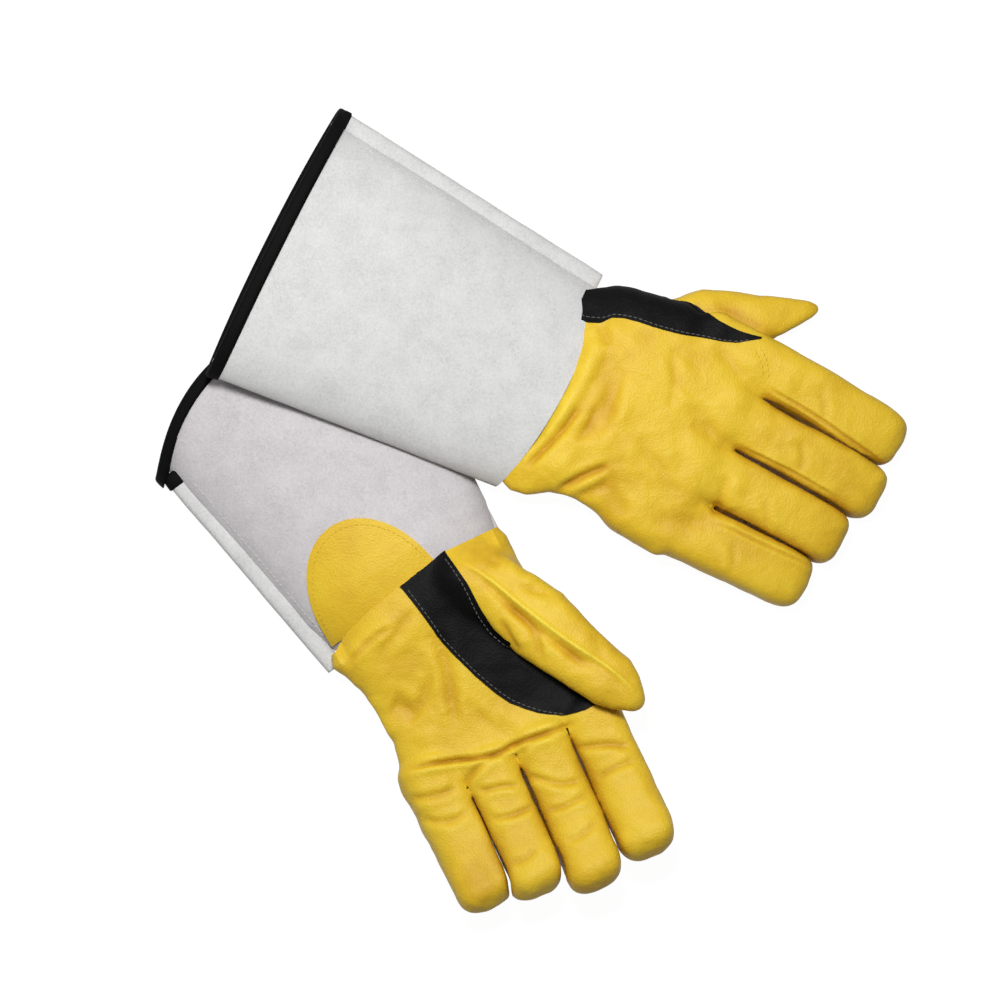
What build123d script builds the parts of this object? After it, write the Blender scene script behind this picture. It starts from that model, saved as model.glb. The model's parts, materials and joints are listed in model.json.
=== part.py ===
"""Pair of long-cuffed leather welding gloves, lying one across the other.

The left glove lies palm up on the surface. The right glove lies palm down, with its cuff
across the left one's. Each is an assembly of leather pieces: a two-panel cuff with side
welts and a bound hem, a hand of two panels with a patch at the thumb crotch, four fingers
of three pieces and a thumb of three. Millimetres, +Z up, origin on the surface under the
middle of the pair.
"""

from math import degrees, radians
from math import cos, sin
import os

from build123d import *

os.makedirs("parts", exist_ok=True)

# ---------------------------------------------------------------- driving dimensions
SPLIT_LEATHER = 1.8            # cuff panels
GRAIN_LEATHER = 1.6            # hand, fingers and thumb
PATCH_LEATHER = 1.2            # pulse patch and thumb-crotch patches

CUFF_LENGTH = 164.0            # wrist seam to the middle of the hem
CUFF_WRIST_HALF = 60.0         # half width at the wrist seam
CUFF_HEM_HALF = 78.0           # half width at the hem
CUFF_SIDE = (9.0, 8.0)         # height of the cuff's side walls at wrist and hem
CUFF_CROWN = (27.0, 26.0)      # height of the cuff's middle at wrist and hem
CUFF_OVERRUN = 8.0             # the lofts run past the hem by this and are trimmed

WELT_WIDTH = 7.0               # rolled welt along each side seam
WELT_HEIGHT = 6.0
BINDING_WIDTH = 6.0            # black tape folded over the hem
BINDING_PROUD = 1.0            # the tape stands this far off the leather
BINDING_DEPTH = 2.8            # and reaches this far in, past the inside of the leather
PULSE_PATCH_MIDDLE = -15.0     # the half-round patch over the pulse sits to the little side
PULSE_PATCH_HALF = 34.0
PULSE_PATCH_LENGTH = 55.0

WRIST_AXIS_HEIGHT = 13.0       # above the underside of the cuff
WRIST_GAP = 7.0                # bare width of the wrist crease
WRIST_WELT_HALF = 40.0         # half width of the seam welt that bridges the crease inside
WRIST_WELT_REACH = (-2.0, 17.0)
WRIST_WELT_LEVELS = (4.8, 9.0, 21.0)   # its underside, side tops and crown

KNUCKLE = 106.0                # finger seams, from the wrist
FINGER_HEIGHT = 24.0
FINGER_MIDDLE = 13.5           # height of the fingers' centre lines above the hand's underside
FINGER_ROUND = 0.22            # corner radius of a finger, as a share of its width
FINGER_TAPER = ((0.0, 1.0, 1.0), (0.45, 1.0, 0.97), (0.85, 0.93, 0.86), (1.0, 0.62, 0.56))
THUMB_TAPER = ((0.0, 1.0, 0.95), (0.4, 0.96, 1.0), (0.78, 0.76, 0.9), (1.0, 0.36, 0.5))
KNUCKLE_AXIS_DROP = 8.0        # the crease is this far to the palm side of the centre line

# Each hand panel's stations: distance from the wrist, little side, thumb side.
# Each finger: middle of its seam across the hand, width, tip distance, turn, pitch, curl.
GLOVES = {
    "right": dict(
        palm_up=False,
        wrist=(8.3, 70.7, 8.8), cuff_heading=-27.2, cuff_pitch=8.0, cuff_roll=-5.0,
        hem_bow=3.0,
        hand_height=9.6, hand_heading=-28.0, hand_pitch=2.2, hand_roll=-2.5,
        outline=((8, -55, 56), (22, -55, 63), (46, -50, 70), (72, -53, 72), (99, -56, 74)),
        side=(9.0, 20.0, 20.0, 20.0, 17.0),
        crown=(24.0, 29.0, 30.0, 30.0, 27.0),
        band=((8, 41), (35, 51), (59, 58), (78, 64.5), (88, 73), (88, 84), (8, 84)),
        thumb_bay=((19, 84), (19, 65), (37, 33), (97, 63), (97, 84)),
        thumb_bay_height=17.2,
        fingers=dict(
            index=(59.4, 30.0, 183.0, 0.0, -1.3, -9.0),
            middle=(28.2, 29.6, 187.0, 0.0, -0.9, -9.0),
            ring=(-2.9, 29.4, 179.0, 0.0, -0.4, -9.0),
            little=(-36.4, 30.0, 174.0, 3.0, 0.1, -9.0)),
        thumb=dict(x=31.0, y=53.0, z=6.4, turn=30.0, roll=2.5, pitch=-1.6, curl=-3.0,
                   width=31.0, height=19.0, length=90.0)),
    "left": dict(
        palm_up=True,
        wrist=(-62.6, -41.8, 0.0), cuff_heading=-54.4, cuff_pitch=0.0, cuff_roll=0.0,
        hem_bow=31.0,
        hand_height=1.5, hand_heading=-59.4, hand_pitch=0.0, hand_roll=0.0,
        outline=((12, -56, 55), (24, -54, 58), (46, -51, 62), (72, -53, 62), (99, -59, 63)),
        side=(9.0, 13.0, 13.0, 13.0, 17.0),
        crown=(24.0, 26.0, 26.0, 26.0, 27.0),
        band=((12, -3), (20, -2), (37, 1.5), (55, 6), (74, 13), (86, 23), (94, 34), (98.5, 49),
              (98.5, 53), (89, 48.6), (76, 41), (59, 34), (45, 27), (36, 25.6), (12, 26)),
        thumb_bay=None,
        thumb_bay_height=0.0,
        fingers=dict(
            index=(47.2, 31.0, 184.0, -6.0, -6.0, 24.0),
            middle=(16.4, 27.4, 185.0, -8.0, -6.0, 27.0),
            ring=(-11.9, 27.0, 171.0, -9.0, -6.0, 27.0),
            little=(-43.2, 30.0, 167.0, -7.0, -5.0, 24.0)),
        thumb=dict(x=31.0, y=47.0, z=31.5, turn=20.0, roll=-14.0, pitch=-3.0, curl=-6.0,
                   width=33.0, height=22.0, length=84.0)),
}
DIGITS = ("index", "middle", "ring", "little", "thumb")


# ---------------------------------------------------------------- frames and helpers
def placed(base, x, y, z, heading=0.0, pitch=0.0, roll=0.0):
    """A plane set in another one: moved, headed about Z, pitched nose down, then rolled."""
    step = Location((x, y, z)) * Location((0, 0, 0), (0, 0, heading))
    step = step * Location((0, 0, 0), (0, pitch, 0)) * Location((0, 0, 0), (roll, 0, 0))
    return Plane(base.location * step)


def across(frame):
    """The plane square to a frame's X: sketch X runs to its thumb side, sketch Y up."""
    return Plane(origin=frame.origin, x_dir=frame.y_dir, z_dir=frame.x_dir)


def cuff_frame(glove):
    """Origin on the underside of the cuff at the middle of the wrist, X to the fingers."""
    return placed(Plane.XY, *glove["wrist"], glove["cuff_heading"], glove["cuff_pitch"],
                  glove["cuff_roll"])


def hand_frame(glove):
    """Origin on the underside of the hand at the middle of the wrist, X to the fingers."""
    x, y, _ = glove["wrist"]
    return placed(Plane.XY, x, y, glove["hand_height"], glove["hand_heading"],
                  glove["hand_pitch"], glove["hand_roll"])


def finger_frame(glove, digit):
    """Origin in the middle of a finger's seam, X along the finger."""
    middle, _, _, turn, pitch, _ = glove["fingers"][digit]
    return placed(hand_frame(glove), KNUCKLE, middle, FINGER_MIDDLE, turn, pitch)


def thumb_frame(glove):
    """Origin in the middle of the thumb's root, X along the thumb."""
    thumb = glove["thumb"]
    return placed(hand_frame(glove), thumb["x"], thumb["y"], thumb["z"], thumb["turn"],
                  thumb["pitch"], thumb["roll"])


def curled(frame, along, length, curl):
    """The frame carried along a finger whose centre line is an arc that turns by curl."""
    turn = radians(curl) * along / length
    radius = length / radians(curl)
    return placed(frame, radius * sin(turn), 0, radius * (1 - cos(turn)), pitch=-degrees(turn))


def arched(frame, x, low, high, side, crown, floor):
    """Section with a flat underside, upright sides and a crowned top, across a frame."""
    with BuildSketch(across(placed(frame, x, 0, 0))) as section:
        with BuildLine():
            Polyline((low, side), (low, floor), (high, floor), (high, side))
            ThreePointArc((high, side), ((low + high) / 2, crown), (low, side))
        make_face()
    return section.sketch


def plan(frame, points):
    """A flat outline on the underside of a frame."""
    with BuildSketch(frame) as outline:
        with BuildLine():
            Polyline(*points, close=True)
        make_face()
    return outline.sketch


def write(piece, node):
    """Name a finished piece and write it."""
    piece.part.label = node
    export_step(piece.part, f"parts/{node}.step")


# ---------------------------------------------------------------- cuff
def cuff_half(x):
    """Half width of the cuff at a distance from the wrist, negative towards the hem."""
    return CUFF_WRIST_HALF - (CUFF_HEM_HALF - CUFF_WRIST_HALF) * x / CUFF_LENGTH


def cuff_sections(frame, inset, floor, narrow=0.0):
    """The two arched sections of a cuff, at the wrist and just past the hem."""
    sections = []
    ends = (0.0, -CUFF_LENGTH - CUFF_OVERRUN)
    for x, side, crown in zip(ends, CUFF_SIDE, CUFF_CROWN):
        half = cuff_half(x) - narrow - inset
        sections.append(arched(frame, x, -half, half, side - inset, crown - inset, floor))
    return sections


def hem_outline(frame, bow, setback):
    """Plan of the cuff from its bowed hem, set back towards the wrist, to past the wrist."""
    corner = -CUFF_LENGTH + bow + setback
    wide = CUFF_HEM_HALF + 20.0
    front = 30.0
    with BuildSketch(frame) as outline:
        with BuildLine():
            Polyline((corner, CUFF_HEM_HALF), (corner, wide), (front, wide), (front, -wide),
                     (corner, -wide), (corner, -CUFF_HEM_HALF))
            ThreePointArc((corner, -CUFF_HEM_HALF), (-CUFF_LENGTH + setback, 0),
                          (corner, CUFF_HEM_HALF))
        make_face()
    return outline.sketch


def cuff(name, glove):
    """Back and palm panels, two side welts, the hem binding and the pulse patch."""
    frame = cuff_frame(glove)
    bow = glove["hem_bow"]
    upper_side, lower_side = ("palm", "back") if glove["palm_up"] else ("back", "palm")
    reach = 80.0

    with BuildPart() as upper:
        loft(cuff_sections(frame, 0, SPLIT_LEATHER, WELT_WIDTH), ruled=True)
        loft(cuff_sections(frame, SPLIT_LEATHER, SPLIT_LEATHER, WELT_WIDTH), ruled=True,
             mode=Mode.SUBTRACT)
        extrude(hem_outline(frame, bow, BINDING_WIDTH), reach, both=True, mode=Mode.INTERSECT)
    write(upper, f"{name}_cuff_{upper_side}_panel")

    end = -CUFF_LENGTH - CUFF_OVERRUN
    wrist_half = cuff_half(0) - WELT_WIDTH
    end_half = cuff_half(end) - WELT_WIDTH
    with BuildPart() as lower:
        extrude(plan(frame, [(0, -wrist_half), (0, wrist_half), (end, end_half),
                             (end, -end_half)]), SPLIT_LEATHER)
        extrude(hem_outline(frame, bow, BINDING_WIDTH), reach, both=True, mode=Mode.INTERSECT)
    write(lower, f"{name}_cuff_{lower_side}_panel")

    for edge, hand in (("little", -1), ("thumb", 1)):
        with BuildPart() as welt:
            sections = []
            for x in (0.0, end):
                with BuildSketch(across(placed(frame, x, 0, 0))) as section:
                    with Locations((hand * (cuff_half(x) - WELT_WIDTH / 2), WELT_HEIGHT / 2)):
                        RectangleRounded(WELT_WIDTH, WELT_HEIGHT, 2.0)
                sections.append(section.sketch)
            loft(sections, ruled=True)
            extrude(hem_outline(frame, bow, BINDING_WIDTH), reach, both=True,
                    mode=Mode.INTERSECT)
        write(welt, f"{name}_cuff_{edge}_side_welt")

    with BuildPart() as binding:
        loft(cuff_sections(frame, -BINDING_PROUD, 0), ruled=True)
        loft(cuff_sections(frame, BINDING_DEPTH, BINDING_DEPTH, WELT_WIDTH), ruled=True,
             mode=Mode.SUBTRACT)
        extrude(hem_outline(frame, bow, 0), reach, both=True, mode=Mode.INTERSECT)
        extrude(hem_outline(frame, bow, BINDING_WIDTH), reach, both=True, mode=Mode.SUBTRACT)
    write(binding, f"{name}_cuff_hem_binding")

    with BuildPart() as patch:
        if glove["palm_up"]:
            loft(cuff_sections(frame, -PATCH_LEATHER, SPLIT_LEATHER, WELT_WIDTH), ruled=True)
            loft(cuff_sections(frame, 0, SPLIT_LEATHER, WELT_WIDTH), ruled=True,
                 mode=Mode.SUBTRACT)
            thickness = reach
            mode = Mode.INTERSECT
        else:
            thickness = -PATCH_LEATHER
            mode = Mode.ADD
        with BuildSketch(frame) as half_round:
            with BuildLine():
                ends = [(-1.0, PULSE_PATCH_MIDDLE + side * PULSE_PATCH_HALF) for side in (-1, 1)]
                Line(*ends)
                ThreePointArc(ends[1], (-PULSE_PATCH_LENGTH, PULSE_PATCH_MIDDLE), ends[0])
            make_face()
        extrude(half_round.sketch, thickness, mode=mode)
    write(patch, f"{name}_pulse_patch")


# ---------------------------------------------------------------- hand
def hand_sections(glove, inset, floor):
    """The hand's arched sections from the wrist crease to the knuckles."""
    frame = hand_frame(glove)
    stations = zip(glove["outline"], glove["side"], glove["crown"])
    return [arched(frame, x, low + inset, high - inset, side - inset, crown - inset, floor)
            for (x, low, high), side, crown in stations]


def hand(name, glove):
    """Back and palm panels, the thumb-crotch patch and the welt inside the wrist seam."""
    frame = hand_frame(glove)
    upper_side, lower_side = ("palm", "back") if glove["palm_up"] else ("back", "palm")
    bay = glove["thumb_bay"]

    with BuildPart() as upper:
        loft(hand_sections(glove, 0, GRAIN_LEATHER), ruled=True)
        loft(hand_sections(glove, GRAIN_LEATHER, GRAIN_LEATHER), ruled=True,
             mode=Mode.SUBTRACT)
        if bay:
            extrude(plan(frame, bay), glove["thumb_bay_height"], mode=Mode.SUBTRACT)
    write(upper, f"{name}_hand_{upper_side}_panel")

    with BuildPart() as lower:
        low_edge = [(x, low) for x, low, _ in glove["outline"]]
        high_edge = [(x, high) for x, _, high in glove["outline"]]
        extrude(plan(frame, low_edge + high_edge[::-1]), GRAIN_LEATHER)
        if bay:
            extrude(plan(frame, bay), glove["thumb_bay_height"], mode=Mode.SUBTRACT)
    write(lower, f"{name}_hand_{lower_side}_panel")

    with BuildPart() as patch:
        loft(hand_sections(glove, -PATCH_LEATHER, GRAIN_LEATHER), ruled=True)
        loft(hand_sections(glove, 0, GRAIN_LEATHER), ruled=True, mode=Mode.SUBTRACT)
        extrude(plan(frame, glove["band"]), 60.0, mode=Mode.INTERSECT)
        if bay:
            extrude(plan(frame, bay), glove["thumb_bay_height"], mode=Mode.SUBTRACT)
    write(patch, f"{name}_thumb_crotch_patch")

    first, last = WRIST_WELT_REACH
    floor, side, crown = WRIST_WELT_LEVELS
    with BuildPart() as welt:
        for inset, mode in ((0.0, Mode.ADD), (PATCH_LEATHER, Mode.SUBTRACT)):
            half = WRIST_WELT_HALF - inset
            loft([arched(frame, x, -half, half, side, crown - inset, floor + inset)
                  for x in (first, last)], ruled=True, mode=mode)
    write(welt, f"{name}_wrist_seam_welt")


# ---------------------------------------------------------------- fingers and thumb
def wall_section(plane, width, height, wall, share):
    """One wall of a finger's rounded section: its top, its bottom or its two sides."""
    corner = FINGER_ROUND * width
    flat = width / 2 - corner
    with BuildSketch(plane) as section:
        RectangleRounded(width, height, corner)
        RectangleRounded(width - 2 * wall, height - 2 * wall, corner - wall,
                         mode=Mode.SUBTRACT)
        if share == "top":
            with Locations((0, height / 2)):
                Rectangle(2 * flat, height / 2, mode=Mode.INTERSECT)
        if share == "bottom":
            with Locations((0, -height / 2)):
                Rectangle(2 * flat, height / 2, mode=Mode.INTERSECT)
        if share in ("low side", "high side"):
            with Locations((width / 2 if share == "high side" else -width / 2, 0)):
                Rectangle(2 * corner, height, mode=Mode.INTERSECT)
    return section.sketch


def digit_pieces(name, digit, frame, width, height, length, curl, taper, palm_up):
    """Back and front strips and the pair of side strips between them."""
    body_length = length - GRAIN_LEATHER
    planes = [across(curled(frame, share * body_length, length, curl)) for share, _, _ in taper]
    sizes = [(width * wide, height * high) for _, wide, high in taper]

    def strip(share):
        return [wall_section(plane, wide, high, GRAIN_LEATHER, share)
                for plane, (wide, high) in zip(planes, sizes)]

    back_share, front_share = ("bottom", "top") if palm_up else ("top", "bottom")
    with BuildPart() as back:
        loft(strip(back_share), ruled=True)
        with BuildSketch(planes[-1]) as tip:
            wide, high = sizes[-1]
            RectangleRounded(wide, high, FINGER_ROUND * wide)
        extrude(tip.sketch, GRAIN_LEATHER)
    write(back, f"{name}_{digit}_back")

    with BuildPart() as front:
        loft(strip(front_share), ruled=True)
    write(front, f"{name}_{digit}_front")

    with BuildPart() as sides:
        loft(strip("low side"), ruled=True)
        loft(strip("high side"), ruled=True)
    write(sides, f"{name}_{digit}_side_strips")


def digits(name, glove):
    """The four fingers and the thumb of one glove."""
    for digit in DIGITS[:4]:
        _, width, tip, _, _, curl = glove["fingers"][digit]
        digit_pieces(name, digit, finger_frame(glove, digit), width, FINGER_HEIGHT,
                     tip - KNUCKLE, curl, FINGER_TAPER, glove["palm_up"])
    thumb = glove["thumb"]
    digit_pieces(name, "thumb", thumb_frame(glove), thumb["width"], thumb["height"],
                 thumb["length"], thumb["curl"], THUMB_TAPER, glove["palm_up"])


for glove_name, glove_sizes in GLOVES.items():
    cuff(glove_name, glove_sizes)
    hand(glove_name, glove_sizes)
    digits(glove_name, glove_sizes)
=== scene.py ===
"""Pair of long-cuffed leather welding gloves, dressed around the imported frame.

The left glove lies palm up, the right glove palm down with its cuff across the left one's.
Sections follow the gloves as they are sewn: hands, cuffs, side welts, hem bindings, pulse
patches, thumb-crotch patches, wrist seam welts and thread, then the stand they are shown on.
"""
import itertools
import json
import math

import bmesh
import bpy
import numpy as np
from mathutils import Matrix, Vector
from mathutils.bvhtree import BVHTree

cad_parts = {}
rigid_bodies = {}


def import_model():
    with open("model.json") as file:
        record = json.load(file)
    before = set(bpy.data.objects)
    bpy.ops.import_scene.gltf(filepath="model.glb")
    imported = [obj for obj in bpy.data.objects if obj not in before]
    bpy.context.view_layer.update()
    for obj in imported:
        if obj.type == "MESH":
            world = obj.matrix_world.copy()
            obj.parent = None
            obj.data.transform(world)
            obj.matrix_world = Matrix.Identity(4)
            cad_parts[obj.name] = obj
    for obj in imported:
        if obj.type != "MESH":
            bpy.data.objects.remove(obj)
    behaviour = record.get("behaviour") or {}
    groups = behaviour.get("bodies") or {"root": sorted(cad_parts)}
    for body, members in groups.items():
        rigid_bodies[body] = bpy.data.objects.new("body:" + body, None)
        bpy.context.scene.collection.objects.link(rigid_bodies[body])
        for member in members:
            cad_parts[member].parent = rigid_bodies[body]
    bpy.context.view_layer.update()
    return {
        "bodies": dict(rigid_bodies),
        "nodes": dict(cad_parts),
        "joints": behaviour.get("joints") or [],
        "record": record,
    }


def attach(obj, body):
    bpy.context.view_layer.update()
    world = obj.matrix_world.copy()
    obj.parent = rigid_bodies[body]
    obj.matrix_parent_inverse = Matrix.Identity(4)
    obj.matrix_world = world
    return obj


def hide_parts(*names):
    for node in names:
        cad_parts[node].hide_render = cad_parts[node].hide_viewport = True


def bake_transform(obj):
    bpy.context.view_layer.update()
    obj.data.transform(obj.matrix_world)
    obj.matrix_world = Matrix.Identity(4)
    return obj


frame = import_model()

MM = 0.001


# -------------------- where each glove lies
# A glove is cut about its wrist: X runs to the fingers, Y to the thumb side, Z up from the
# side it lies on. The wrist joint's place comes from the frame, the angles are the lie.
WRIST_JOINT = Vector((3.5, 0.0, 13.0))     # the joint in the cuff's own millimetres
RIGHT = dict(
    name="right", palm_up=False, hand_height=9.6,
    hand_angles=(-28.0, 2.2, -2.5), cuff_angles=(-27.2, 8.0, -5.0))
LEFT = dict(
    name="left", palm_up=True, hand_height=1.5,
    hand_angles=(-59.4, 0.0, 0.0), cuff_angles=(-54.4, 0.0, 0.0))
GLOVES = (LEFT, RIGHT)
JOINTS = {joint["name"]: joint for joint in frame["joints"]}


def turned(heading, pitch, roll):
    """Heading about Z, then pitch nose down, then roll, as a 4 x 4 matrix in degrees."""
    return (Matrix.Rotation(math.radians(heading), 4, "Z")
            @ Matrix.Rotation(math.radians(pitch), 4, "Y")
            @ Matrix.Rotation(math.radians(roll), 4, "X"))


for glove in GLOVES:
    wrist = Vector(JOINTS[glove["name"] + "_wrist"]["pos_m"])
    cuff_turn = turned(*glove["cuff_angles"])
    origin = wrist - cuff_turn @ (WRIST_JOINT * MM)
    glove["cuff"] = Matrix.Translation(origin) @ cuff_turn @ Matrix.Scale(MM, 4)
    origin = Vector((origin.x, origin.y, glove["hand_height"] * MM))
    glove["hand"] = (Matrix.Translation(origin) @ turned(*glove["hand_angles"])
                     @ Matrix.Scale(MM, 4))


# -------------------- yellow grain leather
# Goat grain leather: a smooth, softly shining face with fine pebbled pores. It is dyed
# through, with painted light on its high folds and painted ochre shade in its creases.
LEATHER_PORE = 1.1         # from one pore to the next, in millimetres
LEATHER_WEAR = 7.0         # the size of its soft unevenness


def linear(hex_colour):
    """An sRGB hex colour as linear RGBA."""
    parts = [int(hex_colour[i:i + 2], 16) / 255 for i in (1, 3, 5)]
    return [p / 12.92 if p <= 0.04045 else ((p + 0.055) / 1.055) ** 2.4 for p in parts] + [1.0]


def add_node(material, kind, links=None, **settings):
    """Add a shader node, set its fields or inputs, and link {input: (node, output)}."""
    node = material.node_tree.nodes.new(kind)
    for name, value in settings.items():
        if hasattr(node, name):
            setattr(node, name, value)
        else:
            node.inputs[name.replace("_", " ")].default_value = value
    for name, (source, output) in (links or {}).items():
        material.node_tree.links.new(source.outputs[output], node.inputs[name])
    return node


def new_material(name):
    """An empty node material and its surface shader."""
    material = bpy.data.materials.new(name)
    material.use_nodes = True
    return material, material.node_tree.nodes["Principled BSDF"]


def textured_material(name):
    """A new material, its surface shader and its texture coordinates."""
    material, shader = new_material(name)
    return material, shader, add_node(material, "ShaderNodeTexCoord")


def noise(material, place, scale, detail, roughness):
    """Cloudy noise that keeps its place on the piece."""
    return add_node(material, "ShaderNodeTexNoise", links={"Vector": (place, "Object")},
                    Scale=scale, Detail=detail, Roughness=roughness)


def pebbles(material, place, size):
    """Round pores a given number of millimetres apart."""
    return add_node(material, "ShaderNodeTexVoronoi", links={"Vector": (place, "Object")},
                    Scale=1000 / size)


def bumped(material, source, output, strength, distance, under=None):
    """A bump from another node's value, on top of another bump where one is given."""
    links = {"Height": (source, output), **({"Normal": (under, "Normal")} if under else {})}
    return add_node(material, "ShaderNodeBump", links=links, Strength=strength,
                    Distance=distance)


def scaled(material, source, output, factor, added=None):
    """A value times a factor, plus the output of another node where one is given."""
    kind = "MULTIPLY_ADD" if added else "MULTIPLY"
    links = {0: (source, output), **({2: added} if added else {})}
    node = add_node(material, "ShaderNodeMath", operation=kind, links=links)
    node.inputs[1].default_value = factor
    return node


def surfaced(material, shader, tone, bump, roughness, specular):
    """Join a colour and a bump to the surface, with its roughness and specular level."""
    links = material.node_tree.links
    links.new(tone.outputs["Color"], shader.inputs["Base Color"])
    links.new(bump.outputs["Normal"], shader.inputs["Normal"])
    shader.inputs["Roughness"].default_value = roughness
    shader.inputs["Specular IOR Level"].default_value = specular
    return material


def ramp(material, source, output, stops):
    """A colour ramp fed from another node; stops are (place, hex colour)."""
    node = add_node(material, "ShaderNodeValToRGB", links={"Fac": (source, output)})
    elements = node.color_ramp.elements
    while len(elements) < len(stops):
        elements.new(0.5)
    for element, (place, colour) in zip(elements, stops):
        element.position = place
        element.color = linear(colour)
    return node


def grain_leather():
    """Dyed goat grain with pores and wear; painted ochre shade in folds, painted light on
    ridges.
    """
    material, shader, place = textured_material("yellow_grain_leather")
    # creases carry an attribute from 0, a sunk fold painted in shade, to 1, a ridge painted
    # light
    fold = add_node(material, "ShaderNodeAttribute", attribute_name="fold")
    blotch = noise(material, place, scale=34.0, detail=5.0, roughness=0.62)
    # the leather's own blotches, plus painted shade in creases and painted light on ridges
    both = scaled(material, blotch, "Fac", 0.35, added=(fold, "Fac"))
    tone = ramp(material, both, 0, ((0.28, "#8A5C0A"), (0.50, "#C0901A"), (0.67, "#DAB42A"),
                                    (0.90, "#E8CC3E")))
    pores = pebbles(material, place, LEATHER_PORE)
    wear = noise(material, place, scale=1000 / LEATHER_WEAR, detail=5.0, roughness=0.65)
    pore_bump = bumped(material, pores, "Distance", strength=0.45, distance=0.0004)
    bump = bumped(material, wear, "Fac", strength=0.5, distance=0.0009, under=pore_bump)
    return surfaced(material, shader, tone, bump, roughness=0.5, specular=0.26)


GRAIN_LEATHER = grain_leather()


# -------------------- hands
# Each hand is a back and a palm of grain leather sewn round four fingers and a thumb. It is
# shaped as one skin, so that the leather runs on unbroken, and is cut where the joints are.
SKIN = 1.5                 # leather thickness
STEP = 0.87                # spacing of the lattice that the skin is drawn on
FINGERS = ("index", "middle", "ring", "little")
FINGER_CUT = 98.0          # the finger pieces start here, short of the finger roots
THUMB, HAND = 4, 5         # places after the four fingers in the list of zones
ZONES = FINGERS + ("thumb", "hand")
HAND_END = (88.0, 14.0)    # the hand's body rounds off from here, over this length
LOOSE = 300                # bits of skin with fewer faces than this are dropped
LAY_DOWN = 14              # the left hand's edge lies down on its cuff over this length

# Stations along the hand: distance from the wrist, little side, thumb side, top height.
# Digits: root x, y, z, turn, pitch, curl, length, half width, half height, straight run
# before the curl, rounding of the root. Crotches: place across, where the slit starts.
# Wrist edge: place across, where the hand's leather ends. lean: how far the fingers lie over.
# draw: how far skin is drawn together at the finger roots. finger_power: how square a finger
# is. thumb_cut: where the thumb's piece starts along it; thumb_slit: where its slit opens and
# is clear. Tapers: places along, share of the width, and the same for the height.
RIGHT.update(
    wrist_edge=((-70, -10), (70, -10)), lean=0.16, draw=5.0, finger_power=4.2,
    finger_slit=1.25, crotches=((-20, 107.5), (13, 102.5), (46, 103)), thumb_cut=20.0,
    stations=((-14, -48, 49, 16), (0, -57, 57, 21), (8, -60, 62, 24), (16, -58, 65, 27),
              (26, -51.5, 67, 29), (36, -48.5, 68.5, 29.5), (48, -49, 71, 30),
              (72, -52, 71, 29), (92, -54.5, 73.5, 28), (106, -54.5, 74.5, 27)),
    index=(70, 60.0, 13.0, -1.4, -1.4, -9, 110.5, 16.0, 12.4, 39, 15),
    middle=(70, 29.4, 13.4, -1.1, -1.2, -9, 114.0, 16.2, 12.8, 39, 15),
    ring=(70, -2.4, 13.4, -0.1, -0.8, -9, 107.0, 16.2, 12.6, 37, 15),
    little=(70, -36.6, 12.8, 2.9, -0.3, -9, 101.0, 16.2, 12.2, 35, 15),
    thumb=(26.0, 38.4, 7.0, 38.2, -1.6, -2, 104.0, 16.8, 9.8, 35, 16),
    thumb_slit=(20.0, 38.0),
    thumb_taper=(((0, 0.3, 0.43, 0.6, 0.72, 0.86, 0.97, 1.05),
                  (1.0, 1.12, 1.24, 0.98, 0.75, 0.47, 0.23, 0.1)),
                 ((0, 0.4, 0.7, 0.85, 1.0), (0.9, 1.0, 0.9, 0.62, 0.3))))
# wrist_fit: half width, side height and crown of the cuff that the hand's edge lies down on
LEFT.update(
    wrist_edge=((-64, 5), (-52.6, 4.4), (-42.5, -1.3), (-24.9, -5.8), (-4.3, -8.5), (24, -12.5),
                (57, -9.4), (66, -8)),
    lean=0.18, draw=3.6, finger_power=2.9, finger_slit=1.5, crotches=((-30, 107), (40, 107)),
    thumb_cut=26.0, wrist_fit=(54.0, 6.0, 27.3),
    stations=((-14, -47, 55, 26.6), (-3, -51, 57.5, 27.8), (5, -54.5, 56.5, 28.2),
              (11, -57.5, 56, 28), (18, -54.5, 56, 27), (28, -51, 56, 26), (40, -49, 58, 25),
              (62, -49.5, 60, 24.5), (76, -54, 61, 24), (86, -59, 62, 24.5),
              (106, -60, 62, 25)),
    index=(100, 47.6, 15.2, -5.6, -4.5, 26, 85.0, 15.8, 12.6, 9.5, 9),
    middle=(98, 16.6, 15.4, -7.0, -4.5, 29, 89.0, 15.8, 13.0, 11.5, 9),
    ring=(95, -13.2, 15.2, -6.6, -4.5, 29, 78.5, 15.8, 12.8, 10.2, 9),
    little=(84, -42.6, 13.6, -3.6, -4.0, 26, 80.5, 15.8, 12.4, 19.5, 9),
    thumb=(2, 33.0, 25.0, 20.4, -6.0, -4, 117.0, 15.0, 11.0, 40, 15),
    thumb_slit=(32.0, 51.0),
    thumb_taper=(((0, 0.2, 0.4, 0.62, 0.82, 0.9, 0.97, 1.04),
                  (1.0, 1.12, 1.34, 1.14, 1.0, 0.76, 0.40, 0.12)),
                 ((0, 0.4, 0.8, 0.92, 1.03), (0.9, 1.05, 0.95, 0.75, 0.4))))


def lattice(low, high):
    """Lattice points of a box, on whole steps."""
    return [np.arange(math.floor(a / STEP), math.ceil(b / STEP) + 1) * STEP
            for a, b in zip(low, high)]


def unit_slope(field):
    """The field divided by its slope, so that it reads as a distance near its surface."""
    slopes = np.gradient(field, STEP)
    slope = np.sqrt(sum(s * s for s in slopes))
    return field / np.maximum(slope, 1e-3)


def smooth_min(a, b, reach):
    """The lower of two fields, rounded where they meet within reach."""
    share = np.clip(0.5 + 0.5 * (b - a) / reach, 0, 1)
    return b * (1 - share) + a * share - reach * share * (1 - share)


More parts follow.
